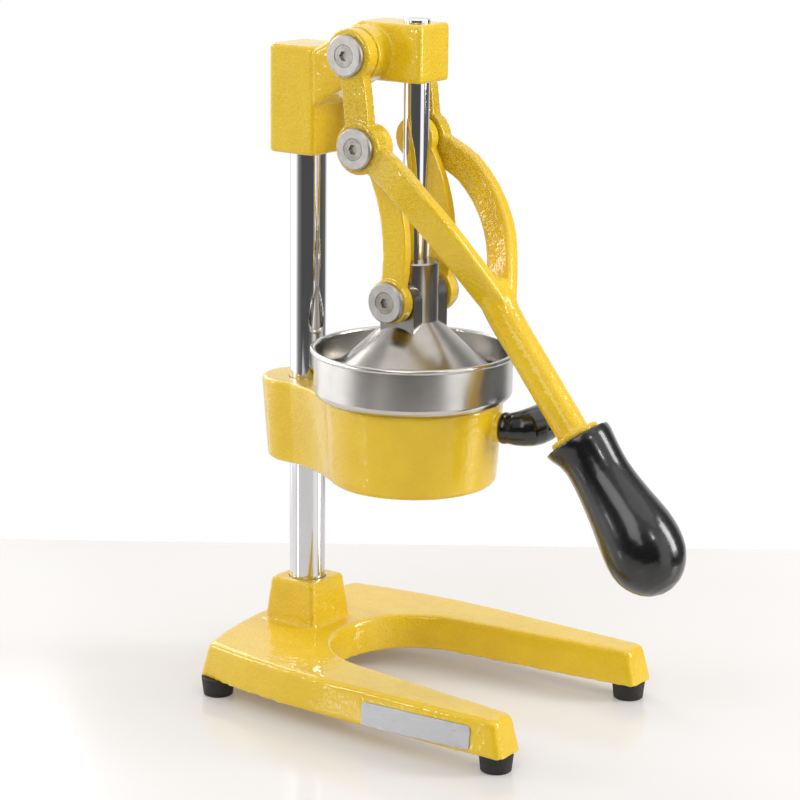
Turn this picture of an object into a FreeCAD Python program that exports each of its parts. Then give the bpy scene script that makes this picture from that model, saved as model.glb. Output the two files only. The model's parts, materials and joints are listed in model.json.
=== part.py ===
import FreeCAD, Part
import math
import os
import Sketcher

# Lever citrus juice press: cast iron base, chrome column, cast head, slider-crank lever and press bell.
# Every outline below is drawn about the plunger rod: X across, Y from the rod back to the column, Z up.
# seat() then moves each piece by press_axis_y, so that the frame's origin is under the middle of the press.

Vector = FreeCAD.Vector
doc = FreeCAD.newDocument("CitrusPress")
sheet = doc.addObject("Spreadsheet::Sheet", "Dimensions")

DRIVING = {
    "press_axis_y": 40.55, "column_gap": 88.8, "column_diameter": 25.0, "rod_diameter": 17.0,
    "foot_height": 12.5, "foot_radius_top": 11.5, "foot_radius_floor": 10.2, "foot_half_span": 83.0,
    "foot_front_y": -127.0, "foot_rear_y": 102.5,
    "base_top_z": 36.5, "base_front_y": -132.2, "base_front_draft": 6.0, "base_side_draft": 2.4,
    "base_leg_outer": 94.6, "base_leg_inner": 71.6, "base_side_bulge": 97.2, "base_rear_corner_x": 84.6,
    "base_rear_corner_y": 108.6, "base_rear_arc": 259.0, "base_side_arc": 480.0, "base_throat_half": 57.3,
    "base_throat_radius": 57.8, "base_throat_y": 3.0, "base_wall": 6.5, "base_roof": 7.0,
    "pedestal_half_foot": 22.0, "pedestal_half_top": 18.6, "pedestal_top_z": 67.6, "column_seat_z": 30.0,
    "holder_top_z": 212.0, "holder_bottom_z": 153.7, "ring_radius_top": 61.5, "ring_radius_bottom": 57.3,
    "ring_bore_radius": 53.5, "lug_radius_top": 27.0, "lug_radius_bottom": 22.6, "lug_centre_y": 95.2,
    "lug_flare_y": 84.0, "lug_flare_arc": 130.0,
    "bowl_rim_z": 245.0, "bowl_rim_radius": 69.5, "bowl_wall_radius": 67.0, "bowl_corner": 5.0,
    "rim_roll_radius": 1.8, "sheet_metal": 1.2, "funnel_radius": 52.0, "funnel_cone_top_z": 198.0,
    "outlet_radius": 14.0, "outlet_top_z": 168.0, "outlet_end_z": 146.0,
    "reamer_foot_radius": 49.0, "reamer_shoulder_radius": 44.0, "reamer_shoulder_z": 224.0,
    "reamer_neck_radius": 12.0, "reamer_neck_z": 250.0, "reamer_tip_z": 254.0, "strainer_radius": 61.0,
    "bell_rim_radius": 60.0, "bell_rim_z": 224.5, "bell_rim_lip": 2.2, "bell_wall": 6.0,
    "bell_roof_z": 259.6, "hub_radius": 16.5, "hub_foot_z": 264.5, "hub_top_z": 304.4,
    "lug_half_width": 19.5, "lug_half_depth": 13.5, "lug_foot_z": 250.0, "rod_foot_z": 272.0,
    "rod_top_z": 464.2,
    "head_top_z": 461.4, "head_bottom_z": 423.3, "head_front_y": -14.4, "head_neck_y": 36.0,
    "head_half_width": 16.8, "head_rear_half_width": 19.2, "head_rear_y": 108.3, "head_step_y": 70.0,
    "head_rear_bottom_z": 368.6, "head_rear_top_z": 442.0, "head_step_top_z": 440.4,
    "head_step_bottom_z": 402.4, "head_boss_radius": 18.0, "head_boss_half_span": 31.6,
    "column_top_z": 432.0,
    "crank_pivot_y": 25.5, "crank_pivot_z": 441.5, "link_pivot_y": 17.5, "link_pivot_z": 381.7,
    "bell_pivot_z": 280.2,
    "arm_inner_x": 32.0, "arm_outer_x": 42.2, "arm_boss_radius": 17.4, "arm_web_width": 18.6,
    "arm_height": 22.0, "arm_thickness": 10.4, "arm_edge_radius": 3.2, "tube_diameter": 22.0,
    "collar_diameter": 33.6, "collar_thickness": 4.0, "tang_diameter": 12.0, "tang_length": 84.0,
    "washer_radius": 13.6, "washer_thickness": 4.2, "washer_chamfer": 1.0, "running_gap": 0.2,
    "bush_outer_radius": 9.0, "fit_clearance": 0.05, "screw_radius": 5.0, "screw_head_radius": 7.4,
    "screw_head_depth": 2.6, "socket_across_flats": 6.0, "socket_depth": 2.2,
    "link_inner_x": 22.2, "link_outer_x": 30.4, "link_eye_radius": 15.0, "link_width": 18.6,
    "link_bow": 11.4, "link_relief": 0.7,
    "arm_web_bow": 1.3, "grip_radius": 26.5, "grub_radius": 4.0, "rod_screw_radius": 3.0,
    "rod_screw_z": 292.0,
    "handle_pad_reach": 64.6, "handle_angle": 77.0, "handle_axis_z": 196.0, "handle_pad_radius": 10.2,
    "handle_collar_radius": 10.8, "handle_swell_radius": 13.1, "handle_bend_radius": 16.0,
    "handle_lead": 8.0, "handle_rise": 4.0, "handle_end_angle": 5.0, "handle_reach": 17.0,
}


class Size:
    """A length that remembers the sheet formula it was worked out from."""

    def __init__(self, value, formula):
        self.value = float(value)
        self.formula = formula

    def joined(self, other, sign, value):
        formula = other.formula if isinstance(other, Size) else repr(float(other))
        return Size(value, "(%s %s %s)" % (self.formula, sign, formula))

    def __add__(self, other):
        return self.joined(other, "+", self.value + float(other))

    def __sub__(self, other):
        return self.joined(other, "-", self.value - float(other))

    def __mul__(self, other):
        return self.joined(other, "*", self.value * float(other))

    def __truediv__(self, other):
        return self.joined(other, "/", self.value / float(other))

    def __neg__(self):
        return Size(-self.value, "(-%s)" % self.formula)

    def __radd__(self, other):
        return self + other

    def __rsub__(self, other):
        return (-self) + other

    def __rmul__(self, other):
        return self * other

    def __float__(self):
        return self.value


def fill_sheet():
    """Write every driving dimension into the sheet, one row each, with its alias."""
    for row, (alias, value) in enumerate(DRIVING.items(), start=1):
        sheet.set("A%d" % row, alias)
        sheet.set("B%d" % row, str(value))
        sheet.setAlias("B%d" % row, alias)
    doc.recompute()


def size(alias):
    """The driving dimension of this name."""
    return Size(DRIVING[alias], "Dimensions.%s" % alias)


def bind(item, **properties):
    """Give an object's properties their values from the sheet."""
    for name, value in properties.items():
        if isinstance(value, Size):
            item.setExpression(name, value.formula)
        else:
            setattr(item, name, value)
    return item


def seat(item, label):
    """Stand a finished piece on the press axis and give it its name."""
    item.Label = label
    item.Placement = FreeCAD.Placement(Vector(0, DRIVING["press_axis_y"], 0), FreeCAD.Rotation())
    item.setExpression("Placement.Base.y", "Dimensions.press_axis_y")
    return item


# Sketches

def new_body(name):
    """An empty body."""
    return doc.addObject("PartDesign::Body", name)


def sketch_on(body, role, offset=0.0):
    """A sketch on one of the body's own origin planes, moved along that plane's normal."""
    sketch = body.newObject("Sketcher::SketchObject", body.Name + "Sketch")
    plane = [entry for entry in body.Origin.OriginFeatures if entry.Role == role][0]
    sketch.AttachmentSupport = [(plane, "")]
    sketch.MapMode = "FlatFace"
    sketch.AttachmentOffset = FreeCAD.Placement(Vector(0, 0, float(offset)), FreeCAD.Rotation())
    if isinstance(offset, Size):
        sketch.setExpression("AttachmentOffset.Base.z", offset.formula)
    return sketch


def hold(sketch, kind, element, position, value):
    """Hold one coordinate of a point at a distance from the sketch's origin."""
    number = float(value)
    if abs(number) < 1e-9:
        axis = -2 if kind == "DistanceX" else -1
        sketch.addConstraint(Sketcher.Constraint("PointOnObject", element, position, axis))
        return
    if number > 0:
        index = sketch.addConstraint(Sketcher.Constraint(kind, -1, 1, element, position, number))
        signed = value
    else:
        index = sketch.addConstraint(Sketcher.Constraint(kind, element, position, -1, 1, -number))
        signed = -value
    if isinstance(signed, Size):
        sketch.setExpression("Constraints[%d]" % index, signed.formula)


def arc_between(start, end, radius, side):
    """The shorter arc between two points; side 1 bulges to the left of the way from start to end."""
    chord = end - start
    across = Vector(-chord.y, chord.x, 0).normalize()
    rise = math.sqrt(max(0.0, radius ** 2 - (chord.Length / 2) ** 2))
    centre = (start + end) / 2 - across * side * rise
    first, last = (end, start) if side > 0 else (start, end)
    opening = math.atan2(first.y - centre.y, first.x - centre.x)
    closing = math.atan2(last.y - centre.y, last.x - centre.x)
    return Part.ArcOfCircle(Part.Circle(centre, Vector(0, 0, 1), radius), opening, closing)


def outline(sketch, corners):
    """A closed outline. A corner is (x, y), or (x, y, radius, side) where an arc arrives at it."""
    places = [Vector(float(corner[0]), float(corner[1]), 0) for corner in corners]
    first = sketch.GeometryCount
    ends = []
    for index, corner in enumerate(corners):
        start = places[index - 1]
        if len(corner) == 4:
            sketch.addGeometry(arc_between(start, places[index], float(corner[2]), corner[3]), False)
            ends.append((2, 1) if corner[3] > 0 else (1, 2))
        else:
            sketch.addGeometry(Part.LineSegment(start, places[index]), False)
            ends.append((1, 2))
    count = len(corners)
    for index, corner in enumerate(corners):
        here = first + index
        following = first + (index + 1) % count
        next_start = ends[(index + 1) % count][0]
        sketch.addConstraint(Sketcher.Constraint("Coincident", here, ends[index][1], following, next_start))
        hold(sketch, "DistanceX", here, ends[index][1], corner[0])
        hold(sketch, "DistanceY", here, ends[index][1], corner[1])
        if len(corner) == 4:
            constraint = sketch.addConstraint(Sketcher.Constraint("Radius", here, float(corner[2])))
            if isinstance(corner[2], Size):
                sketch.setExpression("Constraints[%d]" % constraint, corner[2].formula)


def circle(sketch, x, y, radius):
    """A circle with its centre and radius held."""
    centre = Vector(float(x), float(y), 0)
    index = sketch.addGeometry(Part.Circle(centre, Vector(0, 0, 1), float(radius)), False)
    hold(sketch, "DistanceX", index, 3, x)
    hold(sketch, "DistanceY", index, 3, y)
    constraint = sketch.addConstraint(Sketcher.Constraint("Radius", index, float(radius)))
    if isinstance(radius, Size):
        sketch.setExpression("Constraints[%d]" % constraint, radius.formula)


# Features

def feature(body, kind, sketch, **properties):
    """A feature on a sketch, with its sizes bound."""
    made = body.newObject("PartDesign::" + kind, body.Name + kind)
    made.Profile = sketch
    bind(made, **properties)
    sketch.Visibility = False
    return made


def turned(body, corners, kind="Revolution"):
    """Turn an outline in the XZ plane about Z."""
    sketch = sketch_on(body, "XZ_Plane")
    outline(sketch, corners)
    made = body.newObject("PartDesign::" + kind, body.Name + kind)
    made.Profile = sketch
    made.ReferenceAxis = (sketch, ["V_Axis"])
    made.Angle = 360
    return made


def lofted(body, role, levels):
    """A drafted casting through outlines, each (distance along the plane's normal, corners)."""
    sketches = []
    for distance, corners in levels:
        sketch = sketch_on(body, role, distance)
        outline(sketch, corners)
        sketches.append(sketch)
    made = body.newObject("PartDesign::AdditiveLoft", body.Name + "Loft")
    made.Profile = sketches[0]
    made.Sections = sketches[1:]
    made.Ruled = True
    return checked(body, made, gains=True)


def soft_block(left, right, low, high, radius):
    """A rectangle with rounded corners."""
    return [(left, low + radius), (left + radius, low, radius, -1), (right - radius, low),
            (right, low + radius, radius, -1), (right, high - radius), (right - radius, high, radius, -1),
            (left + radius, high), (left, high - radius, radius, -1)]


def checked(body, made, gains):
    """Recompute and make sure that a feature added or removed metal as meant."""
    before = checked.volumes.get(body.Name, 0.0)
    doc.recompute()
    volume = body.Shape.Volume
    if abs(volume - before) < 0.01 or (volume > before) != gains or not body.Shape.isValid():
        raise RuntimeError("%s %s: volume %.0f to %.0f" % (body.Name, made.Name, before, volume))
    checked.volumes[body.Name] = volume
    return made


checked.volumes = {}


def bored(body, role, x, y, radius, near, far):
    """Cut a round hole from one height to another along a plane's normal."""
    sketch = sketch_on(body, role, near)
    circle(sketch, x, y, radius)
    made = feature(body, "Pocket", sketch, Length=far - near)
    made.Reversed = True
    return checked(body, made, gains=False)


def mirrored_pair(source, label):
    """The piece and its mirror image on the other side, as one node of two solids."""
    other = doc.addObject("Part::Mirroring", source.Name + "Mirror")
    other.Source = source
    other.Normal = Vector(1, 0, 0)
    pair = doc.addObject("Part::Compound", source.Name + "Pair")
    pair.Links = [source, other]
    pair.Label = label
    return pair


def mirror_of(source, label):
    """The same piece on the other side, as a node of its own."""
    other = doc.addObject("Part::Mirroring", source.Name + "Mirror")
    other.Source = source
    other.Normal = Vector(1, 0, 0)
    other.Label = label
    return other


def post(body, role, x, y, radius, near, far):
    """A round bar from one height to another along a plane's normal."""
    sketch = sketch_on(body, role, near)
    circle(sketch, x, y, radius)
    return checked(body, feature(body, "Pad", sketch, Length=far - near), gains=True)


def slab(body, role, corners, near, far):
    """A plate of this outline from one height to another along a plane's normal."""
    sketch = sketch_on(body, role, near)
    outline(sketch, corners)
    return checked(body, feature(body, "Pad", sketch, Length=far - near), gains=True)


def hollow(body, role, corners, near, far):
    """Cut an outline from one height to another along a plane's normal."""
    sketch = sketch_on(body, role, near)
    outline(sketch, corners)
    made = feature(body, "Pocket", sketch, Length=far - near)
    made.Reversed = True
    return checked(body, made, gains=False)


def hexagon(across_flats):
    """The corners of a hexagon about the origin."""
    corner = across_flats / math.sqrt(3)
    turns = [math.radians(angle) for angle in range(0, 360, 60)]
    return [(corner * math.cos(turn), corner * math.sin(turn)) for turn in turns]


def moved_back(item, y):
    """Move a seated piece, drawn about the press axis, this far to the back."""
    item.setExpression("Placement.Base.y", "(%s + %s)" % (size("press_axis_y").formula, y.formula))
    return item


fill_sheet()

COLUMN_Y = size("column_gap")
CRANK_PIVOT = (size("crank_pivot_y"), size("crank_pivot_z"))
LINK_PIVOT = (size("link_pivot_y"), size("link_pivot_z"))
BELL_PIVOT = (Size(0, "0"), size("bell_pivot_z"))
FIT = size("fit_clearance")


# Base

def base_outline(front_grow, side_grow, corner=5.0):
    """The U-shaped base seen from above, grown outwards from its top outline."""
    front = size("base_front_y") - front_grow
    outer = size("base_leg_outer") + side_grow
    inner = size("base_leg_inner") - side_grow
    bulge = size("base_side_bulge") + side_grow
    rear_x = size("base_rear_corner_x") + side_grow * 1.5
    rear_y = size("base_rear_corner_y") + front_grow * 0.85
    throat = size("base_throat_half") - side_grow
    throat_y = size("base_throat_y")
    side_arc = size("base_side_arc")
    return [
        (-outer, front + corner), (-outer + corner, front, corner, -1),
        (-inner - corner, front), (-inner, front + corner, corner, -1),
        (-throat, throat_y), (throat, throat_y, size("base_throat_radius") - side_grow, 1),
        (inner, front + corner), (inner + corner, front, corner, -1),
        (outer - corner, front), (outer, front + corner, corner, -1),
        (bulge, 0), (rear_x + 1.4, rear_y - 6, side_arc, -1),
        (rear_x - 6, rear_y + 2, 7.0, -1), (-rear_x + 6, rear_y + 2, size("base_rear_arc"), -1),
        (-rear_x - 1.4, rear_y - 6, 7.0, -1), (-bulge, 0, side_arc, -1),
    ]


def foot_places():
    """The four feet, front pair first."""
    for y in (size("foot_front_y"), size("foot_rear_y")):
        for side in (-1, 1):
            yield size("foot_half_span") * side, y


def make_base():
    body = new_body("Base")
    floor, top, wall = size("foot_height"), size("base_top_z"), size("base_wall")
    front, side = size("base_front_draft"), size("base_side_draft")
    lofted(body, "XY_Plane", [
        (floor, base_outline(front, side)),
        (top - 2.6, base_outline(front * 0.11, side * 0.11)),
        (top - 0.8, base_outline(front * 0.03 - 0.6, side * 0.03 - 0.6)),
        (top, base_outline(-Size(2.4, "2.4"), -Size(2.4, "2.4"))),
    ])
    foot, crown = size("pedestal_half_foot"), size("pedestal_half_top")
    tip = crown - 1
    lofted(body, "XY_Plane", [
        (top - 1, soft_block(-foot, foot, COLUMN_Y - foot, COLUMN_Y + foot, 3.0)),
        (size("pedestal_top_z") - 1, soft_block(-crown, crown, COLUMN_Y - crown, COLUMN_Y + crown, 3.0)),
        (size("pedestal_top_z"), soft_block(-tip, tip, COLUMN_Y - tip, COLUMN_Y + tip, 2.4)),
    ])
    roof = top - size("base_roof")
    hollow(body, "XY_Plane", base_outline(-wall - 12, -wall, 3.0), floor - 1, roof)
    post(body, "XY_Plane", 0, COLUMN_Y, size("pedestal_half_foot"), size("column_seat_z") - 7, roof + 1)
    bored(body, "XY_Plane", 0, COLUMN_Y, size("column_diameter") / 2 + FIT, size("column_seat_z"),
          size("pedestal_top_z") + 1)
    bored(body, "XY_Plane", 0, COLUMN_Y, size("screw_radius") + 0.2, size("column_seat_z") - 8,
          size("column_seat_z") + 1)
    for x, y in foot_places():
        bored(body, "XY_Plane", x, y, 2.5, floor - 1, floor + 12)
    return seat(body, "base")


def make_feet():
    foot = new_body("Foot")
    low, high, tall = size("foot_radius_floor"), size("foot_radius_top"), size("foot_height")
    turned(foot, [(2.6, 6), (4.9, 6), (4.9, 0), (low - 0.8, 0), (low, 0.8), (high, tall), (2.6, tall)])
    screw = new_body("FootScrew")
    turned(screw, [(0, 3), (4.4, 3), (4.6, 3.6), (4.6, 6), (2.5, 6), (2.5, 22), (0, 22)])
    slot = sketch_on(screw, "XY_Plane", 3)
    outline(slot, [(-4, -0.6), (4, -0.6), (4, 0.6), (-4, 0.6)])
    doc.recompute()
    feature(screw, "Pocket", slot, Length=1.2).Reversed = True
    for source, label in ((foot, "rubber_feet"), (screw, "foot_screws")):
        group = doc.addObject("Part::Compound", source.Name + "Group")
        links = []
        for index, (x, y) in enumerate(foot_places()):
            copy = doc.addObject("Part::Refine", "%sPlace%d" % (source.Name, index))
            copy.Source = source
            copy.Placement = FreeCAD.Placement(Vector(float(x), float(y), 0), FreeCAD.Rotation())
            links.append(copy)
        group.Links = links
        seat(group, label)


def make_column():
    column = new_body("Column")
    radius = size("column_diameter") / 2
    seat_z, top = size("column_seat_z"), size("column_top_z")
    turned(column, [(0, seat_z), (radius - 1, seat_z), (radius, seat_z + 1), (radius, top - 1),
                    (radius - 1, top), (0, top)])
    doc.recompute()
    checked.volumes[column.Name] = column.Shape.Volume
    bored(column, "XY_Plane", 0, 0, size("screw_radius"), seat_z - 1, seat_z + 24)
    moved_back(seat(column, "column"), COLUMN_Y)
    under = size("column_seat_z") - 7
    bolt = new_body("ColumnBolt")
    slab(bolt, "XY_Plane", hexagon(Size(17.0, "17")), under - 8.4, under - 2)
    post(bolt, "XY_Plane", 0, 0, size("screw_radius"), under - 2, under + 24)
    moved_back(seat(bolt, "column_bolt"), COLUMN_Y)
    washer = new_body("ColumnWasher")
    inner = size("screw_radius") + 0.3
    turned(washer, [(inner, under - 2), (10.5, under - 2), (10.5, under), (inner, under)])
    moved_back(seat(washer, "column_bolt_washer"), COLUMN_Y)


# Head casting

def make_head():
    body = new_body("Head")
    step_y, neck_y, front_y = size("head_step_y"), size("head_neck_y"), size("head_front_y")
    wide, narrow = size("head_rear_half_width"), size("head_half_width")
    top, bottom = size("head_top_z"), size("head_bottom_z")
    rear, low, high = size("head_rear_y"), size("head_rear_bottom_z"), size("head_rear_top_z")
    lofted(body, "XY_Plane", [
        (low, soft_block(-wide + 1.5, wide - 1.5, step_y + 1.5, rear - 1.5, 2.0)),
        (low + 1.5, soft_block(-wide, wide, step_y, rear, 3.0)),
        (high - 2, soft_block(-wide, wide, step_y, rear, 3.0)),
        (high - 0.6, soft_block(-wide + 0.6, wide - 0.6, step_y + 0.6, rear - 0.6, 3.0)),
        (high, soft_block(-wide + 2, wide - 2, step_y + 2, rear - 2, 3.0)),
    ])
    inside = soft_block(-wide, wide, size("head_step_bottom_z"), size("head_step_top_z"), 2.5)
    nose = soft_block(-narrow, narrow, bottom, top, 2.5)
    lofted(body, "XZ_Plane", [(-step_y - 0.5, inside), (-neck_y, nose)])
    face = soft_block(-narrow + 2, narrow - 2, bottom + 2, top - 2, 2.5)
    lip = soft_block(-narrow + 0.6, narrow - 0.6, bottom + 0.6, top - 0.6, 2.5)
    lofted(body, "XZ_Plane", [(-neck_y, nose), (-front_y - 2, nose), (-front_y - 0.6, lip), (-front_y, face)])
    span = size("head_boss_half_span")
    post(body, "YZ_Plane", CRANK_PIVOT[0], CRANK_PIVOT[1], size("head_boss_radius"), -span, span)
    bored(body, "XY_Plane", 0, 0, size("rod_diameter") / 2 + FIT, bottom - 1, top + 1)
    bored(body, "XY_Plane", 0, COLUMN_Y, size("column_diameter") / 2 + FIT, size("head_rear_bottom_z") - 1,
          size("column_top_z"))
    for near, far in ((-span - 1, -span + 16), (span - 16, span + 1)):
        bored(body, "YZ_Plane", CRANK_PIVOT[0], CRANK_PIVOT[1], size("screw_radius"), near, far)
    for z in grub_heights():
        bored(body, "XZ_Plane", 0, z, size("grub_radius"), -size("head_rear_y") - 1, -COLUMN_Y)
    return seat(body, "top_head")


def grub_heights():
    """The two set screws behind the head."""
    low = size("head_rear_bottom_z")
    return low + 18, low + 46


def grub_screw(name, radius, z, near_y, far_y):
    """A socket set screw along Y, its socket at the back."""
    body = new_body(name)
    post(body, "XZ_Plane", 0, z, radius, -far_y, -near_y)
    socket = [(x, y + z) for x, y in hexagon(radius)]
    hollow(body, "XZ_Plane", socket, -far_y - 0.01, -far_y + 3)
    return body


def make_set_screws():
    face = COLUMN_Y + size("column_diameter") / 2
    pair = doc.addObject("Part::Compound", "HeadSetScrews")
    pair.Links = [grub_screw("HeadGrub%d" % i, size("grub_radius"), z, face, face + 6)
                  for i, z in enumerate(grub_heights())]
    seat(pair, "head_set_screws")
    holder = grub_screw("HolderGrub", size("grub_radius"), size("holder_top_z") - 28, face, face + 12)
    seat(holder, "holder_set_screw")


# Bowl holder

def holder_outline(ring, lug):
    """The ring and its column lug seen from above."""
    angle = math.radians(54)
    joint_x, joint_y = ring * math.sin(angle), ring * math.cos(angle)
    back, waist = size("lug_centre_y"), size("lug_flare_y")
    flare = size("lug_flare_arc")
    return [
        (joint_x, joint_y, ring, -1),
        (lug, waist, flare, 1), (lug, back), (0, back + lug, lug, -1), (-lug, back, lug, -1), (-lug, waist),
        (-joint_x, joint_y, flare, 1),
        (-ring, 0, ring, -1), (0, -ring, ring, -1), (ring, 0, ring, -1),
    ]


def facing_sketch(body, reach):
    """An upright sketch plane square to the counter handle, at this distance from the press axis."""
    turn = math.radians(90 - DRIVING["handle_angle"])
    sketch = sketch_on(body, "XZ_Plane")
    base = Vector(float(reach) * math.sin(turn), 0, float(reach) * math.cos(turn))
    sketch.AttachmentOffset = FreeCAD.Placement(base, FreeCAD.Rotation(Vector(0, 1, 0), math.degrees(turn)))
    return sketch


def make_holder():
    body = new_body("Holder")
    low, high = size("holder_bottom_z"), size("holder_top_z")
    ring_low, ring_high = size("ring_radius_bottom"), size("ring_radius_top")
    lug_low, lug_high = size("lug_radius_bottom"), size("lug_radius_top")
    lofted(body, "XY_Plane", [
        (low, holder_outline(ring_low - 2.0, lug_low - 2.0)),
        (low + 2.2, holder_outline(ring_low + 0.1, lug_low + 0.1)),
        (high - 2.4, holder_outline(ring_high - 0.2, lug_high - 0.2)),
        (high - 0.7, holder_outline(ring_high - 0.8, lug_high - 0.8)),
        (high, holder_outline(ring_high - 2.4, lug_high - 2.4)),
    ])
    pad = facing_sketch(body, size("handle_pad_reach"))
    circle(pad, 0, size("handle_axis_z"), size("handle_pad_radius"))
    boss = feature(body, "Pad", pad, Length=12)
    boss.Reversed = True
    checked(body, boss, gains=True)
    bored(body, "XY_Plane", 0, 0, size("ring_bore_radius"), low - 1, high + 1)
    bored(body, "XY_Plane", 0, COLUMN_Y, size("column_diameter") / 2 + FIT, low - 1, high + 1)
    bored(body, "XZ_Plane", 0, high - 28, size("grub_radius"), -COLUMN_Y - 40, -COLUMN_Y)
    stud_hole = facing_sketch(body, size("handle_pad_reach"))
    circle(stud_hole, 0, size("handle_axis_z"), size("grub_radius"))
    checked(body, feature(body, "Pocket", stud_hole, Length=9), gains=False)
    return seat(body, "bowl_holder")


# Counter handle

def level_way(angle):
    """The level direction at an angle from the right towards the front."""
    return Vector(math.cos(angle), -math.sin(angle), 0)


def handle_place(distance):
    """A point along the bent counter handle, with its direction."""
    start, finish = math.radians(DRIVING["handle_angle"]), math.radians(DRIVING["handle_end_angle"])
    bend, lead, climb = DRIVING["handle_bend_radius"], DRIVING["handle_lead"], DRIVING["handle_rise"]
    turning = min(max(distance - lead, 0), bend * (start - finish))
    rest = max(distance - lead - turning, 0)
    angle = start - turning / bend
    inwards = Vector(math.sin(start), math.cos(start), 0)
    outwards = Vector(math.sin(angle), math.cos(angle), 0)
    place = level_way(start) * (DRIVING["handle_pad_reach"] + min(distance, lead)) + inwards * bend
    place += level_way(angle) * rest - outwards * bend
    rising = math.pi * min(distance / handle_length(), 1)
    place.z = DRIVING["handle_axis_z"] + climb * (1 - math.cos(rising)) / 2
    slope = climb * math.sin(rising) * math.pi / 2 / handle_length()
    return place, (level_way(angle) + Vector(0, 0, slope)).normalize()


def handle_length():
    """The length of the counter handle round its bend."""
    swept = math.radians(DRIVING["handle_angle"] - DRIVING["handle_end_angle"])
    return DRIVING["handle_lead"] + DRIVING["handle_bend_radius"] * swept + DRIVING["handle_reach"]


def ring_section(name, place, direction, across, tall=None):
    """A round or oval loft section square to a direction: half its width and half its height."""
    section = doc.addObject("Part::Ellipse", name)
    side = Vector(0, 0, 1).cross(direction).normalize()
    rise = direction.cross(side)
    upright = tall is not None and float(tall) > float(across)
    long_radius, short_radius = (tall, across) if upright else (across, tall or across)
    bind(section, MajorRadius=long_radius, MinorRadius=short_radius)
    lead = rise if upright else side
    turn = FreeCAD.Rotation(lead, direction.cross(lead), direction, "ZXY")
    section.Placement = FreeCAD.Placement(place, turn)
    return section


def bar_section(name, place, direction, across, tall, corner):
    """A soft rectangle square to a direction: half its width, half its height and its corner radius."""
    section = doc.addObject("Sketcher::SketchObject", name)
    outline(section, soft_block(-across, across, -tall, tall, corner))
    side = (Vector(1, 0, 0) - direction * direction.x).normalize()
    turn = FreeCAD.Rotation(side, direction.cross(side), direction, "ZXY")
    section.Placement = FreeCAD.Placement(place, turn)
    return section


def loft_of(name, sections):
    """A solid through the sections."""
    loft = doc.addObject("Part::Loft", name)
    loft.Sections = sections
    loft.Solid = True
    loft.Ruled = True
    return loft


def cut_of(name, base, tool):
    """One piece less another."""
    cut = doc.addObject("Part::Cut", name)
    cut.Base = base
    cut.Tool = tool
    return cut


def bar_along(name, radius, height, place, direction):
    """A plain cylinder from a place along a direction."""
    bar = bind(doc.addObject("Part::Cylinder", name), Radius=radius, Height=height)
    bar.Placement = FreeCAD.Placement(place, FreeCAD.Rotation(Vector(0, 0, 1), direction))
    return bar


def make_counter_handle():
    collar, swell = size("handle_collar_radius"), size("handle_swell_radius")
    stations = [(0.0, collar * 0.95), (1.0, collar), (3.2, collar), (4.4, collar * 0.95),
                (9.0, collar * 1.04), (14.0, collar * 1.12), (19.0, collar * 1.19), (24.0, swell),
                (29.0, swell)]
    dome, steps = 12.0, 7
    for index in range(steps + 1):
        turn = math.pi / 2 * index / (steps + 0.5)
        stations.append((handle_length() - dome + dome * math.sin(turn), swell * (0.99 * math.cos(turn))))
    sections = []
    for index, (distance, radius) in enumerate(stations):
        place, direction = handle_place(distance)
        sections.append(ring_section("HandleSection%d" % index, place, direction, radius))
    blank = loft_of("HandleBlank", sections)
    foot, direction = handle_place(0)
    depth, sunk = 13.0, 8.8
    bore = bar_along("HandleBore", size("grub_radius"), Size(depth + 1, "14"), foot - direction, direction)
    seat(cut_of("CounterHandle", blank, bore), "counter_handle")
    stud_foot = foot - direction * sunk
    length = Size(depth + sunk - 0.3, "21.5")
    stud = bar_along("HandleStud", size("grub_radius"), length, stud_foot, direction)
    seat_in_place(stud, "counter_handle_stud")


def seat_in_place(item, label):
    """Seat a piece that already has a placement of its own."""
    group = doc.addObject("Part::Compound", item.Name + "Seat")
    group.Links = [item]
    return seat(group, label)


# Juice bowl and strainer

def make_bowl():
    """The spun cup with its rolled rim, and the funnel welded under its floor."""
    skin = size("sheet_metal")
    wall, floor, corner = size("bowl_wall_radius"), size("holder_top_z"), size("bowl_corner")
    throat, outlet = size("funnel_radius"), size("outlet_radius")
    cone, neck, end = size("funnel_cone_top_z"), size("outlet_top_z"), size("outlet_end_z")
    roll_z = size("bowl_rim_z") - size("rim_roll_radius")
    cup = new_body("Bowl")
    made = turned(cup, [
        (throat - skin, floor), (wall - corner, floor), (wall, floor + corner, corner, -1), (wall, roll_z),
        (wall - skin, roll_z), (wall - skin, floor + corner), (wall - corner, floor + skin, corner - skin, 1),
        (throat - skin, floor + skin),
    ])
    checked(cup, made, gains=True)
    roll = sketch_on(cup, "XZ_Plane")
    circle(roll, size("bowl_rim_radius") - size("rim_roll_radius"), roll_z, size("rim_roll_radius"))
    rim = cup.newObject("PartDesign::Revolution", "BowlRim")
    rim.Profile = roll
    rim.ReferenceAxis = (roll, ["V_Axis"])
    rim.Angle = 360
    checked(cup, rim, gains=True)
    seat(cup, "juice_bowl")
    funnel = new_body("Funnel")
    rise = skin * 0.6
    made = turned(funnel, [
        (outlet, end), (outlet, neck), (throat, cone), (throat, floor), (throat - skin, floor),
        (throat - skin, cone + rise), (outlet - skin, neck + rise), (outlet - skin, end),
    ])
    checked(funnel, made, gains=True)
    seat(funnel, "juice_funnel")


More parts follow.
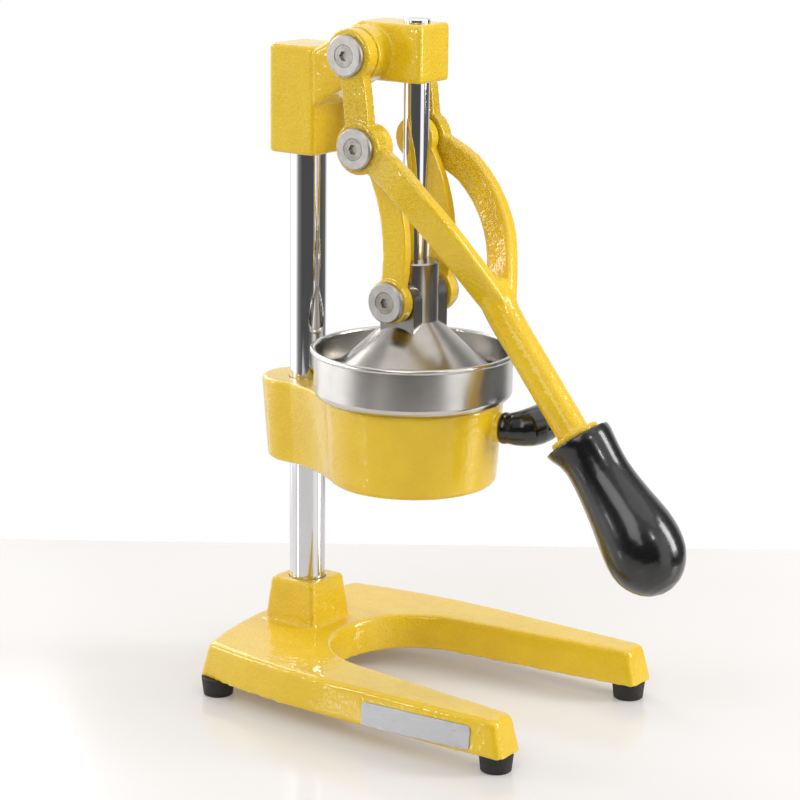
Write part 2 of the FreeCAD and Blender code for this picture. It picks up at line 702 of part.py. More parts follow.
def make_strainer():
    body = new_body("Strainer")
    skin = size("sheet_metal")
    low = size("holder_top_z") + skin + 0.1
    foot, shoulder = size("reamer_foot_radius"), size("reamer_shoulder_radius")
    neck, edge = size("reamer_neck_radius"), size("strainer_radius")
    shoulder_z, neck_z, tip = size("reamer_shoulder_z"), size("reamer_neck_z"), size("reamer_tip_z")
    turned(body, [(0, tip - skin), (0, tip), (neck, neck_z, 20, -1), (shoulder, shoulder_z),
                  (foot, low + skin), (edge, low + skin), (edge, low), (foot - skin, low),
                  (shoulder - skin, shoulder_z - 0.6), (neck - skin, neck_z - skin)])
    doc.recompute()
    checked.volumes[body.Name] = body.Shape.Volume
    rib = sketch_on(body, "XZ_Plane", -1.3)
    outline(rib, [(shoulder + 2.4, shoulder_z - 4), (shoulder + 1.8, shoulder_z + 1.2),
                  (neck + 2, neck_z + 1.2), (neck - 1, neck_z + 0.6), (neck - 0.6, neck_z - 1),
                  (shoulder - 0.6, shoulder_z)])
    ridge = feature(body, "Pad", rib, Length=2.6)
    pattern(body, ridge, 10, gains=True)
    slot = sketch_on(body, "XY_Plane", low - 1)
    half, near, far = 1.1, foot + 2.5, edge - 2.5
    outline(slot, [(near, -half), (far, -half), (far, half), (near, half)])
    cut = feature(body, "Pocket", slot, Length=skin + 2)
    cut.Reversed = True
    pattern(body, cut, 30, gains=False)
    seat(body, "strainer_cone")


def pattern(body, original, count, gains):
    """Repeat a feature evenly about Z."""
    doc.recompute()
    repeat = body.newObject("PartDesign::PolarPattern", body.Name + "Polar")
    repeat.Originals = [original]
    repeat.Axis = (original.Profile[0], ["V_Axis" if "Pad" in original.Name else "N_Axis"])
    repeat.Angle = 360
    repeat.Occurrences = count
    body.Tip = repeat
    return checked(body, repeat, gains)


# Press bell and plunger

def make_bell():
    body = new_body("Bell")
    rim, lip_z, low = size("bell_rim_radius"), size("bell_rim_z"), size("bell_rim_z") - size("bell_rim_lip")
    hub, foot_z, top = size("hub_radius"), size("hub_foot_z"), size("hub_top_z")
    roof, wall = size("bell_roof_z"), size("bell_wall")
    made = turned(body, [(0, low), (rim - 0.8, low), (rim, low + 0.8), (rim, lip_z), (hub, foot_z),
                         (hub, top - 1), (hub - 1, top), (0, top)])
    checked(body, made, gains=True)
    deep, wide = size("lug_half_depth"), size("lug_half_width")
    centre = BELL_PIVOT[1]
    slab(body, "YZ_Plane", [(-deep, size("lug_foot_z")), (deep, size("lug_foot_z")), (deep, centre),
                            (0, centre + deep, deep, -1), (-deep, centre, deep, -1)], -wide, wide)
    checked(body, turned(body, [(0, low - 1), (rim - wall + 1.2, low - 1), (rim - wall, low), (hub - 3, roof),
                                (0, roof)], "Groove"), gains=False)
    bored(body, "XY_Plane", 0, 0, size("rod_diameter") / 2, size("rod_foot_z"), top + 1)
    for near, far in ((-wide - 1, -size("rod_diameter") / 2 - 1), (size("rod_diameter") / 2 + 1, wide + 1)):
        bored(body, "YZ_Plane", 0, centre, size("screw_radius"), near, far)
    screw_z, screw_radius = size("rod_screw_z"), size("rod_screw_radius")
    bored(body, "XZ_Plane", 0, screw_z, screw_radius, -hub - 1, -size("rod_diameter") / 2)
    seat(body, "pressing_bell")

    rod = new_body("Rod")
    radius, end = size("rod_diameter") / 2, size("rod_top_z")
    turned(rod, [(0, size("rod_foot_z")), (radius - 1, size("rod_foot_z")), (radius, size("rod_foot_z") + 1),
                 (radius, end - 1), (radius - 1, end), (0, end)])
    seat(rod, "plunger_rod")
    screw = new_body("RodScrew")
    post(screw, "XZ_Plane", 0, screw_z, screw_radius, 0.4 - hub, -radius)
    socket = [(x, y + screw_z) for x, y in hexagon(screw_radius)]
    hollow(screw, "XZ_Plane", socket, -hub, 3 - hub)
    seat(screw, "rod_set_screw")


# Pivots

def axle(name, pivot, corners):
    """A piece turned about a cross axis, its outline as (distance across, radius)."""
    body = new_body(name)
    sketch = sketch_on(body, "XZ_Plane")
    outline(sketch, corners)
    made = body.newObject("PartDesign::Revolution", name + "Turned")
    made.Profile = sketch
    made.ReferenceAxis = (sketch, ["H_Axis"])
    made.Angle = 360
    checked(body, made, gains=True)
    body.Placement = FreeCAD.Placement(Vector(0, float(pivot[0]), float(pivot[1])), FreeCAD.Rotation())
    body.setExpression("Placement.Base.y", pivot[0].formula)
    body.setExpression("Placement.Base.z", pivot[1].formula)
    return body


def make_pivot(name, label, pivot, washer, shank_end, bush):
    """Screws, washers and bushes of one pivot, both sides: washer and bush as (inner face, outer face)."""
    face, shank = washer[1], size("screw_radius")
    cone, depth = size("screw_head_radius"), size("screw_head_depth")
    disc, edge = size("washer_radius"), size("washer_chamfer")
    hole = shank + FIT
    ring = axle(name + "Washer", pivot, [
        (washer[0], hole), (face - depth, hole), (face, cone + 0.1), (face, disc - edge), (face - edge, disc),
        (washer[0], disc),
    ])
    seat(mirrored_pair(ring, ""), label + "_washers")
    screw = axle(name + "Screw", pivot, [
        (shank_end, 0), (face - 0.3, 0), (face - 0.3, cone - 0.3), (face - depth, shank), (shank_end, shank),
    ])
    socket = hexagon(size("socket_across_flats"))
    hollow(screw, "YZ_Plane", socket, face - 0.3 - size("socket_depth"), face + 1)
    seat(mirrored_pair(screw, ""), label + "_screws")
    tube = size("bush_outer_radius")
    sleeve = axle(name + "Bush", pivot, [(bush[0], hole), (bush[1], hole), (bush[1], tube), (bush[0], tube)])
    seat(mirrored_pair(sleeve, ""), label + "_bushes")


def make_pivots():
    gap, inner, outer = size("running_gap"), size("arm_inner_x"), size("arm_outer_x")
    outside = (outer + gap, outer + gap + size("washer_thickness"))
    boss = size("head_boss_half_span")
    make_pivot("HeadPivot", "head_pivot", CRANK_PIVOT, outside, boss - 14, (boss, outer + gap))
    make_pivot("LinkPivot", "link_pivot", LINK_PIVOT, outside, inner, (inner, outer + gap))
    link = (size("link_inner_x"), size("link_outer_x"))
    lug = size("lug_half_width")
    make_pivot("BellPivot", "bell_pivot", BELL_PIVOT, (link[1] + gap, link[1] + gap + 3.5), lug - 9,
               (lug, link[1] + gap))
    tube = size("bush_outer_radius")
    spacer = axle("BellSpacer", BELL_PIVOT, [
        (lug, tube + FIT), (link[0] - gap, tube + FIT), (link[0] - gap, tube + 3), (lug, tube + 3),
    ])
    seat(mirrored_pair(spacer, ""), "bell_pivot_spacers")


# Links

def bowed_band(start, end, half, rise):
    """A band between two pivots in the YZ plane, bowed to the front by this rise."""
    along_y, along_z = end[0] - start[0], end[1] - start[1]
    length = root(along_y * along_y + along_z * along_z)
    side_y, side_z = -along_z / length, along_y / length
    bow = (length * length / 4 + rise * rise) / (rise * 2)
    step_y, step_z = side_y * half, side_z * half
    return [
        (start[0] - step_y, start[1] - step_z), (end[0] - step_y, end[1] - step_z, bow, 1),
        (end[0] + step_y, end[1] + step_z), (start[0] + step_y, start[1] + step_z, bow, -1),
    ]


def root(number):
    """A square root that keeps its formula."""
    return Size(math.sqrt(float(number)), "sqrt(%s)" % number.formula)


def make_links():
    body = new_body("Link")
    inner, outer, relief = size("link_inner_x"), size("link_outer_x"), size("link_relief")
    band = bowed_band(BELL_PIVOT, LINK_PIVOT, size("link_width") / 2, size("link_bow"))
    slab(body, "YZ_Plane", band, inner + relief, outer - relief)
    for y, z in (BELL_PIVOT, LINK_PIVOT):
        post(body, "YZ_Plane", y, z, size("link_eye_radius"), inner, outer)
    tube = size("bush_outer_radius")
    for (y, z), radius in ((BELL_PIVOT, tube + FIT), (LINK_PIVOT, tube)):
        bored(body, "YZ_Plane", y, z, radius, inner - 1, outer + 1)
    mirror_of(seat(body, "link_right"), "link_left")
    stub = axle("LinkStub", LINK_PIVOT, [
        (inner, 0), (outer + 1.3, 0), (outer + 1.3, tube), (inner + 0.8, tube), (inner, tube - 0.8),
    ])
    seat(mirrored_pair(stub, ""), "link_stubs")


# Lever and grip

# Each arm's middle from its lower boss to the tube (x, y, z), then its shares of the full width and height
ARM_CURVE = [
    (37.1, 16.0, 380.9, 0.92, 0.90), (37.2, 7.5, 376.2, 0.92, 0.96), (37.9, -1.0, 371.4, 0.98, 1.0),
    (39.4, -8.5, 367.0, 1.0, 1.0), (40.0, -15.5, 362.4, 1.0, 1.0), (39.6, -22.9, 355.6, 1.0, 1.0),
    (38.3, -30.6, 347.6, 1.0, 1.0), (35.4, -38.1, 338.9, 1.0, 1.0), (31.6, -44.9, 329.9, 1.0, 1.0),
    (27.3, -50.4, 321.2, 1.0, 0.99), (22.2, -54.9, 312.5, 1.0, 0.98), (16.4, -59.0, 303.9, 1.0, 0.97),
    (10.6, -62.9, 294.9, 1.0, 0.95), (5.3, -66.8, 286.4, 0.98, 0.90), (1.6, -71.0, 278.0, 0.90, 0.80),
]
# The tube's middle from the fork to its straight stretch (y, z), with its width and height over its diameter
TUBE_CURVE = [
    (-60.4, 298.6, 1.06, 0.44), (-62.0, 294.8, 1.24, 0.82), (-64.8, 288.9, 1.20, 0.98),
    (-68.2, 282.3, 1.13, 1.03), (-72.2, 275.8, 1.07, 1.03), (-76.9, 269.3, 1.04, 1.02),
    (-82.0, 262.8, 1.02, 1.01), (-87.2, 256.4, 1.01, 1.005), (-92.8, 249.4, 1.0, 1.0),
]
TUBE_DIRECTION = Vector(0, -0.617, -0.787).normalize()
TUBE_START = Vector(0, -92.8, 249.4)
TUBE_END = Vector(0, -129.9, 202.1)
# The grip from its lip: distance along the tube, radius, and how far its middle stands off the tube's line
GRIP_STATIONS = [
    (0.0, 22.8, 0.0), (5.0, 22.0, 1.2), (10.0, 20.4, 2.4), (16.0, 19.5, 2.8), (22.0, 19.3, 2.6),
    (28.0, 19.4, 2.4), (34.0, 19.9, 2.3), (40.0, 20.6, 2.3), (46.0, 21.4, 2.4), (52.0, 22.3, 2.5),
    (58.0, 23.4, 2.6), (64.0, 24.5, 2.6), (70.0, 25.5, 2.5), (76.0, 26.2, 2.2), (82.0, 26.5, 1.8),
    (88.0, 26.2, 1.4),
    (94.0, 25.0, 1.1), (99.0, 22.9, 0.9), (104.0, 19.7, 0.8), (108.0, 16.0, 0.7), (111.5, 10.9, 0.6),
    (113.9, 3.5, 0.5),
]


def way_of(places, index):
    """The direction of a curve at one of its points."""
    ahead = places[min(index + 1, len(places) - 1)]
    behind = places[max(index - 1, 0)]
    return (ahead - behind).normalize()


def fuse_of(name, shapes):
    """Several pieces as one."""
    fused = doc.addObject("Part::MultiFuse", name)
    fused.Shapes = shapes
    return fused


def cross_bar(name, radius, pivot, near, far):
    """A cylinder along X at a pivot."""
    foot = Vector(float(near), float(pivot[0]), float(pivot[1]))
    bar = bar_along(name, radius, far - near, foot, Vector(1, 0, 0))
    for axis, value in (("x", near), ("y", pivot[0]), ("z", pivot[1])):
        bar.setExpression("Placement.Base." + axis, value.formula)
    return bar


def lever_side():
    """One arm of the fork: two bosses, the web between them and the bowed arm down to the tube."""
    tall, thick, edge = size("arm_height") / 2, size("arm_thickness") / 2, size("arm_edge_radius")
    places = [Vector(x, y, z) for x, y, z, wide, high in ARM_CURVE]
    sections = []
    for index, (x, y, z, wide, high) in enumerate(ARM_CURVE):
        way = way_of(places, index)
        name = "ArmSection%d" % index
        sections.append(bar_section(name, places[index], way, thick * wide, tall * high, edge))
    arm = loft_of("ArmLoft", sections)
    inner, outer = size("arm_inner_x"), size("arm_outer_x")
    upper = cross_bar("UpperBoss", size("arm_boss_radius"), CRANK_PIVOT, inner, outer)
    lower = cross_bar("LowerBoss", size("arm_boss_radius"), LINK_PIVOT, inner, outer)
    web = new_body("ArmWeb")
    band = bowed_band(LINK_PIVOT, CRANK_PIVOT, size("arm_web_width") / 2, size("arm_web_bow"))
    slab(web, "YZ_Plane", band, inner + 0.5, outer - 0.5)
    return fuse_of("LeverSide", [arm, upper, lower, web])


def lever_tube():
    """The tube: from the fork, where it is wide, down to the collar, and the tang inside the grip."""
    radius = size("tube_diameter") / 2
    line = [Vector(0, y, z) for y, z, wide, high in TUBE_CURVE]
    ways = [way_of(line, index) for index in range(len(line) - 1)] + [TUBE_DIRECTION]
    rings = []
    for index, (y, z, wide, high) in enumerate(TUBE_CURVE):
        name = "TubeSection%d" % index
        rings.append(ring_section(name, line[index], ways[index], radius * wide, radius * high))
    straight = (TUBE_END - TUBE_START).Length
    collar, tang = size("collar_diameter") / 2, size("tang_diameter") / 2
    collar_foot = TUBE_END - TUBE_DIRECTION * DRIVING["collar_thickness"]
    tang_foot = TUBE_END - TUBE_DIRECTION
    return [
        loft_of("TubeLoft", rings),
        bar_along("TubeStem", radius, Size(straight, repr(straight)), TUBE_START, TUBE_DIRECTION),
        bar_along("Collar", collar, size("collar_thickness"), collar_foot, TUBE_DIRECTION),
        bar_along("Tang", tang, size("tang_length"), tang_foot, TUBE_DIRECTION),
    ]


def make_lever():
    side = lever_side()
    other = mirror_of(side, "LeverOtherSide")
    blank = fuse_of("LeverBlank", [side, other] + lever_tube())
    span = size("arm_outer_x") + 2
    upper_bore = cross_bar("UpperBore", size("bush_outer_radius") + FIT, CRANK_PIVOT, -span, span)
    lower_bore = cross_bar("LowerBore", size("bush_outer_radius"), LINK_PIVOT, -span, span)
    seat(cut_of("Lever", blank, fuse_of("LeverBores", [upper_bore, lower_bore])), "lever")
    off_line = Vector(0, TUBE_DIRECTION.z, -TUBE_DIRECTION.y)
    stations = []
    for index, (reach, radius, rise) in enumerate(GRIP_STATIONS):
        place = TUBE_END + TUBE_DIRECTION * reach + off_line * rise
        share = size("grip_radius") * (radius / DRIVING["grip_radius"])
        stations.append(ring_section("GripSection%d" % index, place, TUBE_DIRECTION, share))
    mouth = TUBE_END - TUBE_DIRECTION * 0.01
    bore = bar_along("GripBore", size("tang_diameter") / 2, size("tang_length") - 1, mouth, TUBE_DIRECTION)
    seat(cut_of("Grip", loft_of("GripLoft", stations), bore), "lever_grip")


# Build, check and export

NODES = [
    "base", "rubber_feet", "foot_screws", "column", "column_bolt", "column_bolt_washer", "top_head",
    "head_set_screws", "holder_set_screw", "bowl_holder", "counter_handle", "counter_handle_stud",
    "juice_bowl", "juice_funnel", "strainer_cone", "pressing_bell", "plunger_rod", "rod_set_screw",
    "head_pivot_washers", "head_pivot_screws", "head_pivot_bushes", "link_pivot_washers",
    "link_pivot_screws", "link_pivot_bushes", "bell_pivot_washers", "bell_pivot_screws",
    "bell_pivot_bushes", "bell_pivot_spacers", "link_right", "link_left", "link_stubs", "lever",
    "lever_grip",
]


def finished_pieces():
    """Every node's object, checked."""
    doc.recompute()
    for item in doc.Objects:
        if "Invalid" in item.State or "Error" in item.State:
            raise RuntimeError("%s did not recompute: %s" % (item.Label, item.State))
    pieces = {item.Label: item for item in doc.Objects if item.Label in NODES}
    for node in NODES:
        shape = pieces[node].Shape
        if shape.isNull() or not shape.isValid():
            raise RuntimeError("%s has no valid shape" % node)
    return pieces


def build():
    """Draw every piece, check them all, then write them out."""
    makers = (make_base, make_feet, make_column, make_head, make_set_screws, make_holder, make_counter_handle,
              make_bowl, make_strainer, make_bell, make_pivots, make_links, make_lever)
    for maker in makers:
        maker()
    pieces = finished_pieces()
    os.makedirs("parts", exist_ok=True)
    for node in NODES:
        pieces[node].Shape.exportStep("parts/%s.step" % node)


build()
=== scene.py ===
"""Looks of the lever citrus press: finishes, casting skins, the bare side plate, studio and camera."""

import json
import logging
import math
from dataclasses import dataclass
from enum import Enum

import bmesh
import bpy
from mathutils import Matrix, Vector

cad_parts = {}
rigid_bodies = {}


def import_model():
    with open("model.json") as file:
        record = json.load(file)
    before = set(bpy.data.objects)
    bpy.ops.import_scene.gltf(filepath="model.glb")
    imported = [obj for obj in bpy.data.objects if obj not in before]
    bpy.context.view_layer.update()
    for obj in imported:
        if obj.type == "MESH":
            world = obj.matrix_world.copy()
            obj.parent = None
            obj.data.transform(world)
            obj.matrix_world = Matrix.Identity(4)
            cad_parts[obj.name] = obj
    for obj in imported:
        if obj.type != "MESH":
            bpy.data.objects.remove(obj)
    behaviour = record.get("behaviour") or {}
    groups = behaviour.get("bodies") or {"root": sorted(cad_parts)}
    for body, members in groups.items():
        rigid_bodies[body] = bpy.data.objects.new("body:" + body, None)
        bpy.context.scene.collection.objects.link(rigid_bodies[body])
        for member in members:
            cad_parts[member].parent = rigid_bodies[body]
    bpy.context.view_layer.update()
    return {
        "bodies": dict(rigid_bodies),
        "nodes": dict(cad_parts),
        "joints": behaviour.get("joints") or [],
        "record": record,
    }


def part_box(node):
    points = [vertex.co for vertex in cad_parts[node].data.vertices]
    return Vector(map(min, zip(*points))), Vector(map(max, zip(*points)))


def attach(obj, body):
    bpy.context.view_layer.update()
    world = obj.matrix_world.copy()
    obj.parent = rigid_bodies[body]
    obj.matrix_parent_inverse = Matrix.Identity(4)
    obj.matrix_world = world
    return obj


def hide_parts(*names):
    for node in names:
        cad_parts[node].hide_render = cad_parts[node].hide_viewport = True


LOG = logging.getLogger("citrus_press")
MM = 0.001


def linear(hex_colour: str) -> tuple[float, float, float, float]:
    """Turn an sRGB colour into the linear values that the shader takes.

    Args:
        hex_colour: Six hexadecimal digits.

    Returns:
        Red, green, blue and an alpha of one.
    """
    channels = [int(hex_colour[i:i + 2], 16) / 255 for i in (0, 2, 4)]
    values = [c / 12.92 if c <= 0.04045 else ((c + 0.055) / 1.055) ** 2.4 for c in channels]
    return (values[0], values[1], values[2], 1.0)


def press_axis() -> float:
    """Give how far behind the origin the plunger rod stands."""
    low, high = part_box("plunger_rod")
    return (low[1] + high[1]) / 2


def grain(size_mm: float) -> float:
    """Give the noise scale whose features are this large.

    Args:
        size_mm: Real width of one feature in millimetres.

    Returns:
        Texture scale for coordinates in metres.
    """
    return 1.0 / (size_mm * MM)


class Kind(Enum):
    """Shader nodes that the finishes are made of."""

    PRINCIPLED = "ShaderNodeBsdfPrincipled"
    OUTPUT = "ShaderNodeOutputMaterial"
    COORDINATES = "ShaderNodeTexCoord"
    NOISE = "ShaderNodeTexNoise"
    VORONOI = "ShaderNodeTexVoronoi"
    BUMP = "ShaderNodeBump"
    BEVEL = "ShaderNodeBevel"
    MATH = "ShaderNodeMath"
    VECTOR_MATH = "ShaderNodeVectorMath"
    SPLIT = "ShaderNodeSeparateXYZ"
    JOIN = "ShaderNodeCombineXYZ"
    MIX = "ShaderNodeMix"
    RANGE = "ShaderNodeMapRange"
    EMISSION = "ShaderNodeEmission"
    MIX_SHADER = "ShaderNodeMixShader"


class ShaderTree:
    """A material's node tree, with one way to add to it."""

    def __init__(self, name: str) -> None:
        """Start an empty material.

        Args:
            name: Name of the real material and process.
        """
        self.material = bpy.data.materials.new(name)
        self.material.use_nodes = True
        self.tree = self.material.node_tree
        self.tree.nodes.clear()

    def add(self, kind: Kind, settings: dict | None = None, links: dict | None = None) -> bpy.types.Node:
        """Add a node.

        Args:
            kind: The sort of node.
            settings: Node attributes, or values for input sockets, by name.
            links: Input socket names, each with the output socket that feeds it.

        Returns:
            The new node.
        """
        node = self.tree.nodes.new(kind.value)
        for name, value in (settings or {}).items():
            if isinstance(name, int) or name in node.inputs:
                node.inputs[name].default_value = value
            else:
                setattr(node, name, value)
        for name, source in (links or {}).items():
            self.tree.links.new(source, node.inputs[name])
        return node

    def place(self) -> bpy.types.NodeSocket:
        """Give the object's own coordinates, in metres.

        Returns:
            The coordinate socket.
        """
        return self.add(Kind.COORDINATES).outputs["Object"]

    def noise(self, size_mm: float, detail: float = 3.0, at: bpy.types.NodeSocket | None = None,
              rough: float = 0.5) -> bpy.types.NodeSocket:
        """Add noise of a real size.

        Args:
            size_mm: Width of one feature.
            detail: Octaves of finer noise.
            at: Coordinates, the object's own by default.
            rough: How strong the finer octaves are.

        Returns:
            The noise's grey value.
        """
        settings = {"Scale": grain(size_mm), "Detail": detail, "Roughness": rough}
        return self.add(Kind.NOISE, settings, {"Vector": at or self.place()}).outputs["Fac"]

    def spread(self, source: bpy.types.NodeSocket, low: float, high: float,
               inner: tuple[float, float] = (0.3, 0.7)) -> bpy.types.NodeSocket:
        """Map a grey value to a range.

        Args:
            source: The grey value.
            low: Result at the inner range's start.
            high: Result at its end.
            inner: Part of the grey value that is used.

        Returns:
            The mapped value.
        """
        settings = {"From Min": inner[0], "From Max": inner[1], "To Min": low, "To Max": high}
        return self.add(Kind.RANGE, settings, {"Value": source}).outputs["Result"]

    def blend(self, factor: bpy.types.NodeSocket, first: str, second: str) -> bpy.types.NodeSocket:
        """Mix two colours.

        Args:
            factor: Where the second colour shows.
            first: Hex colour at zero.
            second: Hex colour at one.

        Returns:
            The colour socket.
        """
        node = self.add(Kind.MIX, {"data_type": "RGBA"})
        node.inputs[6].default_value = linear(first)
        node.inputs[7].default_value = linear(second)
        self.tree.links.new(factor, node.inputs[0])
        return node.outputs[2]

    def bump(self, height: bpy.types.NodeSocket, depth_mm: float,
             under: bpy.types.NodeSocket | None = None) -> bpy.types.NodeSocket:
        """Raise the surface by a height value.

        Args:
            height: Grey value, one at the top.
            depth_mm: Real height between zero and one.
            under: A normal that this bump is added to.

        Returns:
            The normal socket.
        """
        links = {"Height": height}
        if under is not None:
            links["Normal"] = under
        settings = {"Strength": 1.0, "Distance": depth_mm * MM}
        return self.add(Kind.BUMP, settings, links).outputs["Normal"]

    def softened(self, radius_mm: float) -> bpy.types.NodeSocket:
        """Round the look of sharp edges.

        Args:
            radius_mm: Radius of the rounding.

        Returns:
            The normal socket.
        """
        return self.add(Kind.BEVEL, {"samples": 6, "Radius": radius_mm * MM}).outputs["Normal"]

    def finish(self, settings: dict, links: dict) -> bpy.types.Material:
        """Close the tree with its surface shader.

        Args:
            settings: Principled values by socket name.
            links: Principled inputs fed by other nodes.

        Returns:
            The finished material.
        """
        surface = self.add(Kind.PRINCIPLED, settings, links)
        self.add(Kind.OUTPUT, links={"Surface": surface.outputs["BSDF"]})
        return self.material


@dataclass(frozen=True)
class Enamel:
    """Yellow stove enamel sprayed over cast iron: the mould's grain shows through a glossy coat."""

    name: str = "stove_enamel_on_cast_iron"
    grain_mm: float = 1.9
    grain_depth_mm: float = 0.22
    pit_mm: float = 4.2
    pit_depth_mm: float = 0.15
    light: str = "E9C418"
    deep: str = "E4BB10"
    coarse_round: str = ""
    coarse_reach_mm: tuple[float, float] = (14.0, 95.0)
    coarse_depth_mm: float = 0.8
    pool_mm: float = 18.0
    haze_mm: float = 9.0

    def make(self) -> bpy.types.Material:
        """Build the material.

        Returns:
            The material.
        """
        tree = ShaderTree(self.name)
        # Grain of the sand mould under the coat: it breaks highlights into small sparks.
        grit = tree.spread(tree.noise(self.grain_mm, 1.5, rough=0.4), 0.0, 1.0)
        pits = tree.add(Kind.VORONOI, {"Scale": grain(self.pit_mm), "feature": "SMOOTH_F1"},
                        {"Vector": tree.place()})
        pit = tree.spread(pits.outputs["Distance"], 0.0, 1.0, (0.04, 0.2))
        normal = tree.bump(pit, self.pit_depth_mm)
        normal = tree.bump(grit, self.grain_depth_mm, normal)
        if self.coarse_round:
            normal = tree.bump(self.coarse_sand(tree), self.coarse_depth_mm, normal)
        # The coat is thinner and paler on high spots, deeper where it has run together.
        colour = tree.blend(tree.spread(tree.noise(self.pool_mm), 0.0, 1.0), self.light, self.deep)
        rough = tree.spread(tree.noise(self.haze_mm), 0.34, 0.44)
        settings = {"Specular IOR Level": 0.3, "Coat Weight": 0.8, "Coat Roughness": 0.08}
        return tree.finish(settings, {"Base Color": colour, "Roughness": rough, "Normal": normal})

    def coarse_sand(self, tree: ShaderTree) -> bpy.types.NodeSocket:
        """Give the coarser sand skin that the casting has round one of its pivots.

        Args:
            tree: The material being made.

        Returns:
            Its height, which fades out along the casting.
        """
        low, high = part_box(self.coarse_round)
        centre = (0.0, (low[1] + high[1]) / 2, (low[2] + high[2]) / 2)
        split = tree.add(Kind.SPLIT, links={"Vector": tree.place()})
        flat = tree.add(Kind.JOIN, links={axis: split.outputs[axis] for axis in "YZ"}).outputs["Vector"]
        reach = tree.add(Kind.VECTOR_MATH, {"operation": "DISTANCE", 1: centre}, {0: flat}).outputs["Value"]
        near, far = (value * MM for value in self.coarse_reach_mm)
        share = tree.spread(reach, 1.0, 0.0, (near, far))
        grit = tree.spread(tree.noise(self.grain_mm * 0.75, 1.0), 0.0, 1.0, (0.35, 0.6))
        return tree.add(Kind.MATH, {"operation": "MULTIPLY"}, {0: share, 1: grit}).outputs[0]


@dataclass(frozen=True)
class ChromeBar:
    """Ground steel bar with bright chrome plate: near-mirror, with faint grinding marks round it."""

    name: str = "chrome_plated_ground_bar"
    mark_mm: float = 0.35
    mark_depth_mm: float = 0.001
    smear_mm: float = 16.0
    tint_mm: float = 30.0

    def make(self) -> bpy.types.Material:
        """Build the material.

        Returns:
            The material.
        """
        tree = ShaderTree(self.name)
        # Marks are thin along Z and long round the bar, as centreless grinding leaves them.
        split = tree.add(Kind.SPLIT, links={"Vector": tree.place()})
        height = tree.add(Kind.JOIN, links={"Z": split.outputs["Z"]}).outputs["Vector"]
        marks = tree.noise(self.mark_mm, 2.0, height)
        smear = tree.spread(tree.noise(self.smear_mm), 0.04, 0.09)
        colour = tree.blend(tree.noise(self.tint_mm, 1.0), "E2E2E4", "D6D6D8")
        normal = tree.bump(marks, self.mark_depth_mm)
        return tree.finish({"Metallic": 1.0}, {"Base Color": colour, "Roughness": smear, "Normal": normal})


@dataclass(frozen=True)
class TurnedMetal:
    """Sheet or casting finished on a lathe: faint lines run round the press axis."""

    name: str
    light: str
    deep: str
    line_mm: float
    line_depth_mm: float
    smooth: float
    coarse: float
    stain_mm: float = 24.0

    def make(self) -> bpy.types.Material:
        """Build the material.

        Returns:
            The material.
        """
        tree = ShaderTree(self.name)
        split = tree.add(Kind.SPLIT, links={"Vector": tree.place()})
        behind = {"operation": "SUBTRACT", 1: press_axis()}
        back = tree.add(Kind.MATH, behind, {0: split.outputs["Y"]}).outputs[0]
        across = split.outputs["X"]
        side = tree.add(Kind.MATH, {"operation": "MULTIPLY"}, {0: across, 1: across}).outputs[0]
        square = tree.add(Kind.MATH, {"operation": "MULTIPLY_ADD"}, {0: back, 1: back, 2: side}).outputs[0]
        reach = tree.add(Kind.MATH, {"operation": "SQRT"}, {0: square}).outputs[0]
        # The lines follow radius and height only, so they close into rings.
        rings = tree.add(Kind.JOIN, links={"X": reach, "Z": split.outputs["Z"]}).outputs["Vector"]
        lines = tree.noise(self.line_mm, 3.0, rings, 0.6)
        stain = tree.spread(tree.noise(self.stain_mm), 0.0, 1.0)
        colour = tree.blend(stain, self.light, self.deep)
        rough = tree.spread(lines, self.smooth, self.coarse)
        normal = tree.bump(lines, self.line_depth_mm)
        return tree.finish({"Metallic": 1.0, "Anisotropic": 0.3},
                           {"Base Color": colour, "Roughness": rough, "Normal": normal})


@dataclass(frozen=True)
class PlatedSteel:
    """Small steel pieces, plated or blackened: a dull grain with slight blotches."""

    name: str
    light: str
    deep: str
    smooth: float
    coarse: float
    edge_mm: float = 0.25
    blotch_mm: float = 4.0
    haze_mm: float = 1.1
    grain_mm: float = 0.7
    grain_depth_mm: float = 0.008

    def make(self) -> bpy.types.Material:
        """Build the material.

        Returns:
            The material.
        """
        tree = ShaderTree(self.name)
        blotch = tree.spread(tree.noise(self.blotch_mm, 4.0), 0.0, 1.0)
        colour = tree.blend(blotch, self.light, self.deep)
        rough = tree.spread(tree.noise(self.haze_mm, 4.0), self.smooth, self.coarse)
        normal = tree.bump(tree.noise(self.grain_mm), self.grain_depth_mm, tree.softened(self.edge_mm))
        return tree.finish({"Metallic": 1.0}, {"Base Color": colour, "Roughness": rough, "Normal": normal})


@dataclass(frozen=True)
class Moulding:
    """Moulded black pieces: phenolic is glossy with faint flow waves, rubber is matt and dusty."""

    name: str
    light: str
    deep: str
    smooth: float
    coarse: float
    coat: float
    wave_mm: float
    wave_depth_mm: float
    shine: float = 0.06
    speck_mm: float = 3.0
    haze_mm: float = 5.0

    def make(self) -> bpy.types.Material:
        """Build the material.

        Returns:
            The material.
        """
        tree = ShaderTree(self.name)
        colour = tree.blend(tree.spread(tree.noise(self.speck_mm, 4.0), 0.0, 1.0), self.light, self.deep)
        rough = tree.spread(tree.noise(self.haze_mm, 4.0), self.smooth, self.coarse)
        normal = tree.bump(tree.noise(self.wave_mm, 2.0), self.wave_depth_mm)
        settings = {"Coat Weight": self.coat, "Coat Roughness": self.shine}
        return tree.finish(settings, {"Base Color": colour, "Roughness": rough, "Normal": normal})


